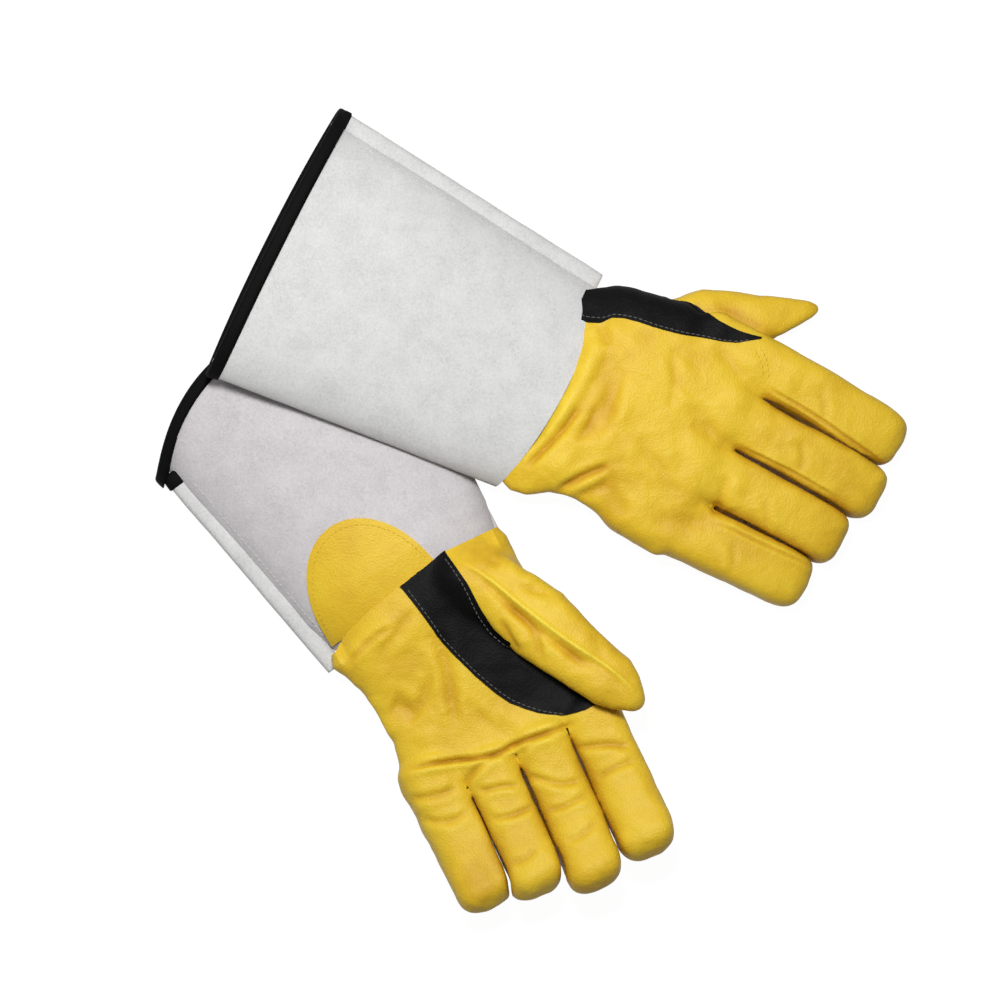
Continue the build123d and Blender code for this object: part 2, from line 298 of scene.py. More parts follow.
def hand_body(points, glove):
    """Distance field of the hand without its fingers."""
    x, y, z = points
    places, *rows = zip(*glove["stations"])
    low, high, top = (np.interp(x, places, row) for row in rows)
    across = np.abs(y - (low + high) / 2) / ((high - low) / 2)
    level = np.abs(z - top / 2) / (top / 2)
    end = np.clip((x - HAND_END[0]) / HAND_END[1], 0, None)
    field = (across ** 3.4 + level ** 2.3 + end ** 2.4) ** (1 / 2.6) - 1
    return unit_slope(field * 13)


def digit_body(points, digit, taper, tip_share, power=2.9, lean=0.0):
    """Distance field of a finger or thumb whose centre line bends along an arc, and the
    distance along it; lean tips its sides over, so that neighbours lie on each other."""
    (root_x, root_y, root_z, turn, pitch, curl, length, wide, high, start,
     root_round) = digit
    x, y, z = points
    x, y, z = x - root_x, y - root_y, z - root_z
    c, s = math.cos(math.radians(turn)), math.sin(math.radians(turn))
    x, y = x * c + y * s, y * c - x * s
    c, s = math.cos(math.radians(pitch)), math.sin(math.radians(pitch))
    x, z = x * c - z * s, x * s + z * c
    radius = (length - start) / math.radians(curl)
    side = math.copysign(1, radius)
    angle = np.arctan2(x - start, (radius - z) * side)
    beyond = x > start
    along = np.where(beyond, start + angle * abs(radius), x)
    level = np.where(beyond, radius - side * np.hypot(x - start, radius - z), z)
    y = y - lean * level
    share = np.clip(along / length, 0, 1.2)
    width = wide * np.interp(share, *taper[0])
    height = high * np.interp(share, *taper[1])
    cap = np.clip((along - length * (1 - tip_share)) / (length * tip_share), 0, None)
    root = np.clip(-along / root_round, 0, None)
    field = ((np.abs(y) / width) ** power + (np.abs(level) / height) ** 2.6
             + cap ** 2.6 + root ** 2.6) ** (1 / 2.6) - 1
    return unit_slope((field * np.minimum(width, height)).astype(np.float32)), along


CORNERS = list(itertools.product((0, 1), repeat=3))
FINGER_TAPER = (((0, 0.5, 0.85, 1.0), (1.0, 1.0, 1.0, 0.9)),
                ((0, 0.5, 0.8, 1.0), (1.0, 1.0, 0.95, 0.84)))


def hand_field(glove):
    """The hand's distance field on its lattice, which digit each lattice point is of, and
    how near it is to the slit between two digits, from 0 to 1, for painted shade there."""
    axes = lattice((-15, -68, -14), (194, 110, 58))
    points = [p.astype(np.float32) for p in np.meshgrid(*axes, indexing="ij")]
    body = hand_body(points, glove)
    digits = [digit_body(points, glove[name], FINGER_TAPER, 0.13, glove["finger_power"],
                         glove["lean"])[0] for name in FINGERS]
    digit = np.argmin(digits, axis=0).astype(np.int8)
    nearest, second = np.partition(np.stack(digits), 1, axis=0)[:2]
    # fingers that press together keep a slit between them, which closes at the crotch
    past = points[0] - np.interp(points[1], *zip(*glove["crotches"])).astype(np.float32)
    slit = np.interp(past, (-5, 0), (-6.0, glove["finger_slit"] / 2))
    fingers = np.maximum(nearest, slit.astype(np.float32) - (second - nearest) / 2)
    digit[points[0] < FINGER_CUT] = HAND
    # the skin is drawn together at the finger roots and stays sharp past the crotches
    draw = glove["draw"] * np.interp(past, (-2, 5), (1.0, 0.01))
    skin = smooth_min(body, fingers, draw.astype(np.float32))
    # the thumb grows out of the hand, then lies against it with a slit between
    thumb, along = digit_body(points, glove["thumb"], glove["thumb_taper"], 0.06)
    opens, clear = glove["thumb_slit"]
    slit = np.interp(along, (opens, clear), (-7.0, 1.8)).astype(np.float32)
    skin = np.maximum(skin, slit - thumb)
    reach = np.interp(along, (0, opens, clear), (9.0, 6.0, 0.05))
    digit[(thumb < skin) & (along > glove["thumb_cut"])] = THUMB
    # painted shade: the leather is darkened beside the slits between fingers and by the thumb
    shade = np.exp(-((second - nearest) / 4.2) ** 2) * np.clip((past + 3) / 4, 0, 1)
    shade = np.maximum(shade, np.exp(-((thumb - skin) / 3.5) ** 2) * (along > clear) * 0.8)
    return axes, smooth_min(skin, thumb, reach.astype(np.float32)), digit, shade


def net(axes, field):
    """Surface net of a field: one vertex in each lattice cell that the surface crosses."""
    inside = field < 0
    shape = np.array(field.shape) - 1

    def shifted(array, corner):
        return array[tuple(slice(c, n + c) for c, n in zip(corner, shape))]

    count = sum(shifted(inside, c).astype(np.int8) for c in CORNERS)
    cells = np.argwhere((count > 0) & (count < 8))
    number = np.full(shape, -1, np.int64)
    number[tuple(cells.T)] = np.arange(len(cells))
    values = np.stack([field[tuple((cells + c).T)] for c in CORNERS], 1)
    total = np.zeros((len(cells), 3))
    crossings = np.zeros(len(cells))
    for a, b in itertools.combinations(range(8), 2):
        first, step = np.array(CORNERS[a]), np.subtract(CORNERS[b], CORNERS[a])
        if abs(step).sum() != 1:
            continue
        va, vb = values[:, a], values[:, b]
        crossed = (va < 0) != (vb < 0)
        t = np.where(crossed, va / np.where(crossed, va - vb, 1), 0)[:, None]
        total += (first + t * step) * crossed[:, None]
        crossings += crossed
    origin = np.array([axis[0] for axis in axes])
    places = origin + (cells + total / crossings[:, None]) * STEP
    quads = []
    for axis in range(3):
        u, v = (axis + 1) % 3, (axis + 2) % 3
        index = np.argwhere(inside != np.roll(inside, -1, axis))
        index = index[((index > 0) & (index < shape)).all(1)]
        around = []
        for du, dv in ((1, 1), (0, 1), (0, 0), (1, 0)):
            cell = index.copy()
            cell[:, u] -= du
            cell[:, v] -= dv
            around.append(number[tuple(cell.T)])
        quad = np.stack(around, 1)
        outward = inside[tuple(index.T)]
        quad[~outward] = quad[~outward][:, ::-1]
        quads.append(quad)
    quads = np.concatenate(quads)
    return places, quads[(quads >= 0).all(1)], cells


def normals_of(places, quads):
    """Vertex normals, each face weighted by its area."""
    a, b, c, d = (places[quads[:, i]] for i in range(4))
    face = np.cross(c - a, d - b)
    normals = np.zeros_like(places)
    for i in range(4):
        np.add.at(normals, quads[:, i], face)
    return normals / np.maximum(np.linalg.norm(normals, axis=1), 1e-9)[:, None]


def smoothed(places, quads, rounds, strength=0.5):
    """Relax a net towards its neighbours' mean."""
    edges = np.concatenate([quads[:, (i, (i + 1) % 4)] for i in range(4)])
    edges = np.concatenate([edges, edges[:, ::-1]])
    count = np.bincount(edges[:, 0], minlength=len(places))[:, None]
    for _ in range(rounds):
        mean = np.stack([np.bincount(edges[:, 0], places[edges[:, 1], i], len(places))
                         for i in range(3)], 1) / np.maximum(count, 1)
        places = places + (mean - places) * strength
    return places


def main_skin(quads, count):
    """The faces of a net without its small loose bits."""
    label = np.arange(count)
    while True:
        lower = label.copy()
        np.minimum.at(lower, quads.ravel(), np.repeat(label[quads].min(1), 4))
        lower = lower[lower]
        if (lower == label).all():
            break
        label = lower
    own = label[quads[:, 0]]
    return quads[np.bincount(own, minlength=count)[own] > LOOSE]


def value_noise(places, size, seed):
    """Smooth noise from -1 to 1 with features of a given size in millimetres."""
    table = np.random.default_rng(seed).uniform(-1, 1, (32, 32, 32))
    grid = places / size
    cell = np.floor(grid).astype(int)
    t = grid - cell
    t = t * t * (3 - 2 * t)
    total = np.zeros(len(places))
    for corner in CORNERS:
        share = np.where(corner, t, 1 - t)
        total += share[:, 0] * share[:, 1] * share[:, 2] * table[tuple((cell + corner).T % 32)]
    return total


def off_line(places, points):
    """Signed distance in plan from a run of points (left positive) and the share of the
    run's length reached."""
    best = np.full(len(places), 1e9)
    side = np.ones(len(places))
    share = np.zeros(len(places))
    points = np.array(points, float)
    steps = np.linalg.norm(np.diff(points, axis=0), axis=1)
    done = 0.0
    for a, b, step in zip(points[:-1], points[1:], steps):
        away = places[:, :2] - a
        t = np.clip((away @ (b - a)) / step ** 2, 0, 1)
        gap = np.linalg.norm(away - t[:, None] * (b - a), axis=1)
        closer = gap < best
        best = np.where(closer, gap, best)
        left = (b - a)[0] * away[:, 1] - (b - a)[1] * away[:, 0]
        side = np.where(closer, np.sign(left), side)
        share = np.where(closer, (done + t * step) / steps.sum(), share)
        done += step
    return best * side, share


def rounded(points, rounds=2):
    """A run of points with its corners cut, the ends kept."""
    points = [np.array(p, float) for p in points]
    for _ in range(rounds):
        cut = [points[0]]
        for a, b in zip(points[:-1], points[1:]):
            cut += [a * 0.75 + b * 0.25, a * 0.25 + b * 0.75]
        points = cut + [points[-1]]
    return points


# Folds of each hand, on its upper side: depth (a ridge is negative), half width, the height
# of the roll on the left and on the right of the run, and the run of points.
RIGHT["folds"] = (
    # gathers where the cuff ends
    (-2.2, 5.0, 0, 0, ((10, 32), (13, 22), (13.9, 9.6), (13.5, -6), (11, -18), (8, -28))),
    (0.8, 3.2, 0.3, 0.4, ((18, 34), (19.5, 24), (19, 8), (18, -6), (17, -18))),
    (1.8, 1.8, 0.5, 0.9, ((18.5, -4), (17.6, -14), (15.5, -25), (12.8, -33), (9, -47))),
    (2.0, 6.0, 0, 0.5, ((22, 30), (27, 20), (31, 8), (32, -8), (28, -22))),
    (-1.2, 5.0, 0, 0, ((36, 18), (40, 4), (40, -10), (36, -22))),
    (-1.8, 7.0, 0, 0, ((22, -18), (25, -30), (22, -44))),
    (1.0, 2.4, 0.4, 0, ((26, 2), (28, -12), (26, -24))),
    (1.9, 2.0, 1.0, 0.5, ((48, -24), (41, -32), (35, -40), (29, -50))),
    (1.0, 2.4, 0.4, 0.3, ((52, -34), (46, -40), (41, -47))),
    (1.6, 6.0, 0, 0, ((44, -30), (56, -38), (68, -46))),
    (1.2, 3.0, 0.3, 0.3, ((8, 40), (13, 35), (18, 31))),
    # hollows that run up from the crotches
    (1.3, 4.0, 0, 0.5, ((66, 58), (78, 54), (90, 49), (101, 47.7))),
    (1.5, 5.0, 0.4, 0, ((72, 27), (80, 20), (90, 14), (103, 13))),
    (1.4, 3.4, 0.5, 0, ((104, 2), (107, -8), (108, -17), (112, -21))),
    (1.2, 5.0, 0, 0, ((80, -40), (92, -34), (102, -28), (112, -22))),
    (-1.2, 9.0, 0, 0, ((78, 58), (98, 61), (118, 61))),
    (-1.0, 9.0, 0, 0, ((80, 34), (98, 31), (118, 30))),
    (-1.0, 9.0, 0, 0, ((80, -6), (98, -3), (118, -3))),
    # pinched seams along the fingers
    (0.8, 0.8, 0.3, 0.5, ((101, 52), (108, 51), (125, 50.6), (149, 48.6), (176, 45))),
    (0.7, 0.8, 0.5, 0.3, ((110, -25.5), (117, -23.6), (136, -23.2), (154, -22), (168, -21))),
    (0.5, 0.8, 0.4, 0.3, ((104, 17), (116, 17.4), (138, 18), (164, 17))),
    # small drapes
    (0.7, 2.6, 0.3, 0, ((48, 44), (58, 30), (62, 16))),
    (0.6, 3.0, 0, 0.3, ((52, -2), (66, -12), (80, -16))),
    (0.5, 2.0, 0.3, 0, ((128, 62), (134, 56), (138, 50))),
    (0.5, 2.2, 0, 0.3, ((130, 34), (136, 28), (139, 20))),
    (0.5, 2.2, 0.3, 0, ((128, -2), (134, -8), (136, -14))),
    (0.5, 2.2, 0, 0.3, ((124, -30), (130, -38), (132, -46))),
)
LEFT["folds"] = (
    # the crease that the palm folds on, and the finger roots beyond it
    (2.4, 1.4, 0.3, 1.0, ((76, -52), (79, -44), (83, -32), (90, -17), (94.2, -4), (94.6, 7),
                          (96.6, 19), (99.5, 30), (101, 40))),
    (1.4, 1.8, 0.2, 0.5, ((101, -29), (96.5, -23.6), (94, -12), (96, -3), (102, 2))),
    (1.2, 1.6, 0.2, 0.5, ((101, 4), (98, 11), (98.6, 21), (103, 29))),
    # the hand's heel
    (1.0, 2.0, 0.4, 0, ((13.5, -51), (9.7, -41), (7.5, -28), (8, -18))),
    (2.4, 5.5, 0, 0, ((42, -41), (49, -35), (58, -33))),
    (-1.4, 5.0, 0, 0, ((34, -46), (44, -50), (60, -47))),
    (1.3, 3.4, 0.7, 0, ((19, -2), (35, -3), (52, -8.5), (74, -19))),
    (-1.1, 4.0, 0, 0, ((22, -9), (37, -10), (52, -16), (68, -24))),
    (0.9, 3.0, 0.4, 0, ((6, -4), (12, -19), (18, -34))),
    (0.9, 2.6, 0, 0.5, ((40, -13), (47, -22), (54, -31))),
    (-1.0, 6.0, 0, 0, ((62, -30), (72, -34), (84, -42))),
    (0.8, 3.5, 0, 0, ((60, -6), (76, -2), (90, 4))),
    (-0.9, 5.0, 0, 0, ((72, 4), (84, 12), (94, 22))),
    # the thumb's ridge seam and the drapes under it
    (-1.5, 1.2, 0, 0, ((-6, 29), (5, 35), (16, 40), (34, 46), (52, 53.6), (64, 58.5), (80, 67),
                       (91, 71.3), (108, 75))),
    (1.5, 2.2, 0.2, 0, ((8, 33), (18, 37), (34, 41.5), (52, 48.5), (66, 54), (82, 63))),
    (1.6, 2.4, 0.6, 0, ((27, 38), (41, 44), (51, 44.5), (60, 41), (66, 39))),
    (1.3, 2.2, 0.5, 0.3, ((33, 32.5), (43, 31.5), (54, 32))),
    (1.1, 2.6, 0.5, 0, ((57, 52), (66, 54), (78, 58))),
    (1.6, 4.5, 0, 0, ((-8, 38), (0, 43), (9, 48))),
    (-1.2, 5.0, 0, 0, ((4, 52), (16, 53), (28, 57))),
    (1.1, 2.4, 0.3, 0.3, ((22, 50), (30, 56), (36, 63))),
    (-0.9, 6.0, 0, 0, ((40, 62), (54, 66), (70, 70))),
    # knuckle folds across the curled fingers
    (1.1, 1.6, 0.3, 0.5, ((106, -24), (108.6, -17), (110, -11), (115, -3))),
    (1.0, 1.6, 0.3, 0.5, ((122, -26), (125, -18), (127, -10), (127, -2))),
    (1.2, 1.9, 0.3, 0.6, ((112, 2), (117, 8), (125, 15), (129, 27))),
    (0.9, 1.6, 0.3, 0.5, ((133, 2), (135.6, 10), (136.4, 18), (137, 26))),
    (1.2, 2.0, 0.3, 0.6, ((112, 32), (116, 40), (119, 48), (127, 58))),
    (0.8, 1.8, 0.3, 0.4, ((132, 33), (131.6, 44), (134, 57))),
    (1.0, 2.0, 0.3, 0.5, ((91, -58), (95.6, -47), (98, -38), (97.4, -32))),
    (1.0, 2.0, 0.3, 0.5, ((103, -57), (110, -50), (113, -42), (112, -33))),
    (0.6, 1.8, 0.2, 0.3, ((147, -30), (149, -22), (147, -12))),
    (0.6, 1.8, 0.2, 0.3, ((152, 2), (154, 12), (151, 22))),
)


def folded(places, normals, glove):
    """Push the skin in and out along its folds and soft unevenness; returns the depth too,
    which the leather's colour takes up as painted shade in hollows and light on rises.
    """
    rise, tone = np.zeros(len(places)), np.zeros(len(places))
    facing = np.clip(normals[:, 2] * 2 + 0.2, 0, 1)
    for depth, width, left, right, points in glove["folds"]:
        gap, share = off_line(places, rounded(points))
        fade = np.clip(np.sin(math.pi * np.clip(share, 0.01, 0.99)) * 1.8, 0, 1)
        gap = gap / width
        roll = (left * np.exp(-((gap - 2.2) / 1.4) ** 2)
                + right * np.exp(-((gap + 2.2) / 1.4) ** 2))
        push = (roll - depth * np.exp(-gap ** 2)) * fade * facing
        rise += push
        # the colour follows the push: painted shade in sunk folds, painted light on rolls
        tone += push * min(1.0, 1.2 / width)
    # long soft waves, then the small drapes between them
    seed = 11 if glove["name"] == "left" else 23
    bent = places + 5 * np.stack([value_noise(places, 17.0, seed + k) for k in (5, 6, 7)], 1)
    drape = 0.8 * value_noise(bent, 24.0, seed)
    drape += 0.42 * value_noise(bent * (1, 1.5, 1), 10.0, seed + 1)
    drape += 0.15 * value_noise(bent * (1.2, 1, 1), 4.5, seed + 2)
    drape *= np.clip((places[:, 0] + 14) / 18, 0.25, 1)
    # the drapes tint the colour too, as painted light and shade
    return places + normals * (rise + drape)[:, None], tone + drape * 0.3


def shell(name, places, normals, quads, thickness, material, slot, fold=None):
    """A skin with its inside wall and rim, made from a net and its outward normals."""
    used, quads = np.unique(quads, return_inverse=True)
    quads = quads.reshape(-1, 4)
    places, normals = places[used], normals[used]
    inner = places - normals * thickness * MM
    edges = np.concatenate([quads[:, (i, (i + 1) % 4)] for i in range(4)])
    key = edges[:, 0] * len(used) + edges[:, 1]
    back = edges[:, 1] * len(used) + edges[:, 0]
    border = edges[~np.isin(key, back)]
    rim = np.stack([border[:, 1], border[:, 0], border[:, 0] + len(used),
                    border[:, 1] + len(used)], 1)
    faces = np.concatenate([quads, quads[:, ::-1] + len(used), rim])
    mesh = bpy.data.meshes.new(name)
    mesh.from_pydata(np.concatenate([places, inner]), [], faces.tolist())
    if fold is not None:
        layer = mesh.attributes.new("fold", "FLOAT", "POINT")
        layer.data.foreach_set("value", np.tile(fold[used], 2).astype(np.float32))
    mesh.shade_smooth()
    mesh.normals_split_custom_set_from_vertices(np.concatenate([normals, -normals]))
    return added(name, mesh, material, slot)


def added(name, mesh, material, slot):
    """Put a mesh in the scene as a piece with its material; the slot is not used."""
    mesh.materials.append(material)
    piece = bpy.data.objects.new(name, mesh)
    bpy.context.scene.collection.objects.link(piece)
    return piece


def placed(matrix, places):
    """Places in a glove's own millimetres, as metres where the pair lies."""
    matrix = np.array(matrix)
    return places @ matrix[:3, :3].T + matrix[:3, 3]


def laid(glove, part, places, normals):
    """Places and normals of a glove's hand or cuff, as the pair lies."""
    turn = np.array(turned(*glove[part + "_angles"]))[:3, :3]
    return placed(glove[part], places), normals @ turn.T


def blend_at_wrist(piece):
    """Bake a piece's place into its mesh."""
    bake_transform(piece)


for glove in GLOVES:
    name = glove["name"]
    axes, field, digit, shade = hand_field(glove)
    places, quads, cells = net(axes, field)
    shade = shade[tuple(cells.T)]
    zone = digit[tuple(cells[quads[:, 0]].T)]
    places = smoothed(places, quads, 3)
    places, rise = folded(places, normals_of(places, quads), glove)
    normals = normals_of(places, quads)
    # the leather's edge at the wrist: what lies beyond it is drawn up to the line
    edge = np.interp(places[:, 1], *zip(*glove["wrist_edge"]))
    keep = (places[quads, 0] > edge[quads]).any(1)
    quads, zone = quads[keep], zone[keep]
    places[:, 0] = np.maximum(places[:, 0], edge)
    if glove["palm_up"]:
        # near its edge the leather lies down on the cuff that is sewn inside it
        half, low, crown = glove["wrist_fit"]
        across = np.clip(np.abs(places[:, 1]) / half, 0, 1)
        inside = np.clip((0.97 - across) / 0.1, 0, 1)
        level = low + (crown - low) * (1 - across ** 2.3) ** (1 / 1.9)
        near = np.clip((edge + LAY_DOWN - places[:, 0]) / LAY_DOWN, 0, 1) ** 1.5
        drop = np.where(normals[:, 2] > 0, np.minimum(level - places[:, 2], 0), 0)
        places[:, 2] += drop * near * inside
        normals = normals_of(places, quads)
    # painted shade and light: darker in sunk folds and by the slits, lighter on raised folds
    fold = np.clip(0.5 + rise * 0.15 - shade * 0.22, 0, 1)
    world, world_normals = laid(glove, "hand", places, normals)
    glove["skin"] = BVHTree.FromPolygons(places.tolist(), quads.tolist())
    for index, part in enumerate(ZONES):
        own = main_skin(quads[zone == index], len(places))
        piece = shell(f"{name}_{part}_leather", world, world_normals, own, SKIN,
                      GRAIN_LEATHER, "grain_leather", fold)
        if part == "hand":
            blend_at_wrist(piece)
            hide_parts(f"{name}_hand_back_panel", f"{name}_hand_palm_panel")
            continue
        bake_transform(piece)
        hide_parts(*(f"{name}_{part}_{panel}" for panel in
                             ("back", "front", "side_strips")))


# -------------------- cuffs
# Each cuff is a flattened tube of grey-white split leather, its suede side out: a back and a
# palm panel that meet under the side welts. The arched panel is the one that lies on top.
CUFF_LENGTH = 164.0
CUFF_WRIST_HALF = 60.0
CUFF_HEM_HALF = 78.5
CUFF_SEAM_LEVEL = 4.5      # height of the side seams above the flat side
CUFF_SKIN = 1.8
CUFF_ROWS = 110            # points along a panel
RING = 240                 # points round the tube
LITTLE_SIDE = RING // 2    # the ring's point at the little side, half way round
WELT_INSET = 7.0           # the panels stop this far inside the cuff's sides
MOUTH_LIFT = 1.2           # the flat side rises this much at the hem, for the tape under it
TUCK_SHARE = 0.13          # the share of the cuff that narrows into the hand
SUEDE_NAP = 1.3            # the size of the suede's nap and of its cloudy patches
SUEDE_CLOUD = 14.0
# cuff_front: where the cuff starts, inside the hand. front_bow, hem_bow: how far its two ends
# bow. cuff_crown: its height at wrist and hem. tuck: how far it narrows into the hand.
# halves: half width at the wrist and at the hem, on the little side and on the thumb side.
# tucked: the side where the top panel laps over the welt (-1 little, 1 thumb).
RIGHT.update(cuff_front=5.5, front_bow=6.5, hem_bow=3.0, cuff_length=169.0,
             cuff_crown=(27.5, 26.5), cuff_seed=5, tuck=0.0, tucked=-1,
             halves={-1: (63.0, 79.5), 1: (64.5, 78.5)})
LEFT.update(cuff_front=-1.0, front_bow=0.0, hem_bow=35.0, cuff_length=CUFF_LENGTH,
            cuff_crown=(27.5, 26.5), cuff_seed=8, tuck=3.2, tucked=1,
            halves={-1: (62.4, 76.5), 1: (57.5, 78.5)})


def suede(name, low, middle, high):
    """Split leather with its nap outward: dull, mottled, in three shades of one colour."""
    material, shader, place = textured_material(name)
    nap = noise(material, place, scale=1000 / SUEDE_NAP, detail=6.0, roughness=0.75)
    cloud = noise(material, place, scale=1000 / SUEDE_CLOUD, detail=6.0, roughness=0.7)
    soft = scaled(material, cloud, "Fac", 0.5)
    mixed = scaled(material, nap, "Fac", 0.9, added=(soft, 0))
    tone = ramp(material, mixed, 0, ((0.42, low), (0.70, middle), (0.98, high)))
    bump = bumped(material, mixed, 0, strength=0.6, distance=0.0005)
    shader.inputs["Sheen Weight"].default_value = 0.25
    return surfaced(material, shader, tone, bump, roughness=0.92, specular=0.15)


SUEDE = suede("split_leather_suede", "#B4B4B3", "#CCCCCB", "#DADAD9")
ROSY_SUEDE = suede("rosy_split_leather_suede", "#ADAAAC", "#C6C2C4", "#D5D2D3")


def side_half(glove, x, hand):
    """Half width of the cuff on one side (-1 little, 1 thumb), at a place along it."""
    wrist, hem_end = glove["halves"][hand]
    return wrist - (hem_end - wrist) * x / CUFF_LENGTH


def cuff_ring(little, thumb, crown):
    """Closed section of the tube: y, z and outward normal at even steps from the thumb side
    over the top, round the little side and back under the flat side."""
    angle = np.linspace(0, 2 * math.pi, 721)
    c, s = np.cos(angle), np.sin(angle)
    top = s >= 0
    y = (np.where(c > 0, thumb, little) * np.sign(c)
         * np.abs(c) ** np.where(top, 2 / 2.3, 2 / 7))
    rise = np.where(top, crown - CUFF_SEAM_LEVEL, CUFF_SEAM_LEVEL)
    z = CUFF_SEAM_LEVEL + rise * np.sign(s) * np.abs(s) ** np.where(top, 2 / 1.9, 2 / 3)
    run = np.concatenate([[0], np.cumsum(np.hypot(np.diff(y), np.diff(z)))])
    upper = run[len(angle) // 2]
    even = np.concatenate([np.linspace(0, upper, LITTLE_SIDE, endpoint=False),
                           np.linspace(upper, run[-1], LITTLE_SIDE, endpoint=False)])
    y, z = np.interp(even, run, y), np.interp(even, run, z)
    dy, dz = np.roll(y, -1) - np.roll(y, 1), np.roll(z, -1) - np.roll(z, 1)
    size = np.hypot(dy, dz)
    return np.stack([y, z], 1), np.stack([dz / size, -dy / size], 1)


def hem(glove, y):
    """Distance along the cuff of its bowed edge, at a place across it."""
    return -glove["cuff_length"] + glove["hem_bow"] * np.abs(y / CUFF_HEM_HALF) ** 2.2


def cuff_points(glove, low, high):
    """A panel's points on a grid: rows along the cuff, ring places low to high round it."""
    front = glove["cuff_front"]
    picks = np.arange(low, high + 1) % RING
    upper = high < LITTLE_SIDE
    table = np.zeros((CUFF_ROWS, len(picks), 3))
    for row, g in enumerate(np.linspace(0, 1, CUFF_ROWS)):
        nominal = front + g * (-glove["cuff_length"] - front)
        crown = np.interp(g, (0, 1), glove["cuff_crown"])
        tuck = glove["tuck"] * max(0.0, 1 - g / TUCK_SHARE)
        little, thumb = (side_half(glove, nominal, hand) - tuck
                         - (0.5 if upper and hand == glove["tucked"] else WELT_INSET)
                         for hand in (-1, 1))
        ring, _ = cuff_ring(little, thumb, crown - tuck * 0.9)
        y = ring[picks, 0]
        # the flat side rises to make room for the hem binding under it
        z = np.maximum(ring[picks, 1], MOUTH_LIFT * np.clip((g - 0.92) / 0.04, 0, 1))
        start = front - glove["front_bow"] * (y / CUFF_WRIST_HALF) ** 2
        x = start + g * (hem(glove, y) - start)
        table[row] = np.stack([x, y, z], 1)
    return table


def grid_quads(rows, columns, closed=False):
    """Faces of a grid of points, whose rows wrap round when closed."""
    index = np.arange(rows * columns).reshape(rows, columns)
    nxt = np.roll(index, -1, 1)
    last = columns if closed else columns - 1
    return np.stack([index[:-1, :last], index[1:, :last], nxt[1:, :last], nxt[:-1, :last]],
                    -1).reshape(-1, 4)


def sway(places, glove):
    """Soft unevenness of the cuff's leather along its length, in millimetres."""
    seed = glove["cuff_seed"]
    wave = 1.1 * value_noise(places * (1, 0.6, 0.3), 46.0, seed)
    wave += 0.5 * value_noise(places * (1, 0.8, 0.3), 19.0, seed + 1)
    wave *= np.clip(-places[:, 0] / 24, 0.25, 1)
    return wave * np.clip((places[:, 2] - 3) / 10, 0.03, 1)


def panel(glove, layer):
    """The outer points and the faces of a cuff's top or flat panel."""
    first = 1 if layer == "top" else LITTLE_SIDE + 1
    places = cuff_points(glove, first, first + LITTLE_SIDE - 2)
    quads = grid_quads(*places.shape[:2])
    places = places.reshape(-1, 3)
    return places + normals_of(places, quads) * sway(places, glove)[:, None], quads


for glove in GLOVES:
    name = glove["name"]
    over, under = ("palm", "back") if glove["palm_up"] else ("back", "palm")
    for side, layer in ((over, "top"), (under, "flat")):
        places, quads = panel(glove, layer)
        material = ROSY_SUEDE if name == "left" and side == over else SUEDE
        piece = shell(f"{name}_cuff_{side}_leather",
                      *laid(glove, "cuff", places, normals_of(places, quads)),
                      quads, CUFF_SKIN, material, "split_leather")
        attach(piece, name + "_cuff")
        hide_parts(f"{name}_cuff_{side}_panel")
        glove[layer + "_tree"] = BVHTree.FromPolygons(places.tolist(), quads.tolist())


# -------------------- side welts
# A strip of the same suede is rolled over each side seam of the cuff and sewn through. On
# one side it is pressed flat, and the cuff's top panel laps over it.
WELT_HALF = 5.0
WELT_TALL = 4.6
WELT_ROWS = 90             # points along a welt
# how far each welt runs into the hand, and how far the hem's tape wraps its end
RIGHT.update(welt_reach={-1: 0.0, 1: 0.0}, welt_wrap={-1: 3.6, 1: 3.6})
LEFT.update(welt_reach={-1: 8.0, 1: 0.0}, welt_wrap={-1: 7.0, 1: 3.6})


def capped_tube(rings, base=0):
    """Points and faces of a run of closed rings with a cap at each end, numbered from a
    base number."""
    rows, columns = len(rings), len(rings[0])
    first = [base + i for i in range(columns)]
    last = [base + (rows - 1) * columns + i for i in range(columns)]
    faces = (grid_quads(rows, columns, closed=True) + base).tolist() + [first[::-1], last]
    return np.concatenate(rings), faces


def closed_piece(name, places, faces, material, slot):
    """A piece whose closed mesh has its faces turned outward."""
    mesh = bpy.data.meshes.new(name)
    mesh.from_pydata(places, [], faces)
    facing = bmesh.new()
    facing.from_mesh(mesh)
    bmesh.ops.recalc_face_normals(facing, faces=facing.faces)
    facing.to_mesh(mesh)
    facing.free()
    mesh.shade_smooth()
    return added(name, mesh, material, slot)


def oval(wide, tall, count):
    """A rounded outline round the cuff's length, of half a width and half a height."""
    angle = np.linspace(0, 2 * math.pi, count, endpoint=False)
    c, s = np.cos(angle), np.sin(angle)
    return np.stack([np.zeros(count), wide * np.sign(c) * np.abs(c) ** (2 / 3),
                     tall * np.sign(s) * np.abs(s) ** (2 / 3)], 1)


def welt_path(glove, hand):
    """Middle line of a side welt from wrist to hem, and its half height."""
    tucked = hand == glove["tucked"]
    front = glove["cuff_front"] - glove["front_bow"] - 0.4 + glove["welt_reach"][hand]
    end = hem(glove, glove["halves"][hand][1]) + 3.0
    x = front + np.linspace(0, 1, WELT_ROWS) * (end - front)
    y = hand * (side_half(glove, x, hand) - WELT_HALF - (1.2 if tucked else 0.0))
    tall = WELT_TALL / 2 if tucked else WELT_TALL
    z = np.full(WELT_ROWS, tall + 0.2)
    wobble = 0.2 * value_noise(np.stack([x, y, z], 1), 11.0, 40 + hand)
    return np.stack([x, y + wobble, z + np.maximum(wobble, -0.2)], 1), tall


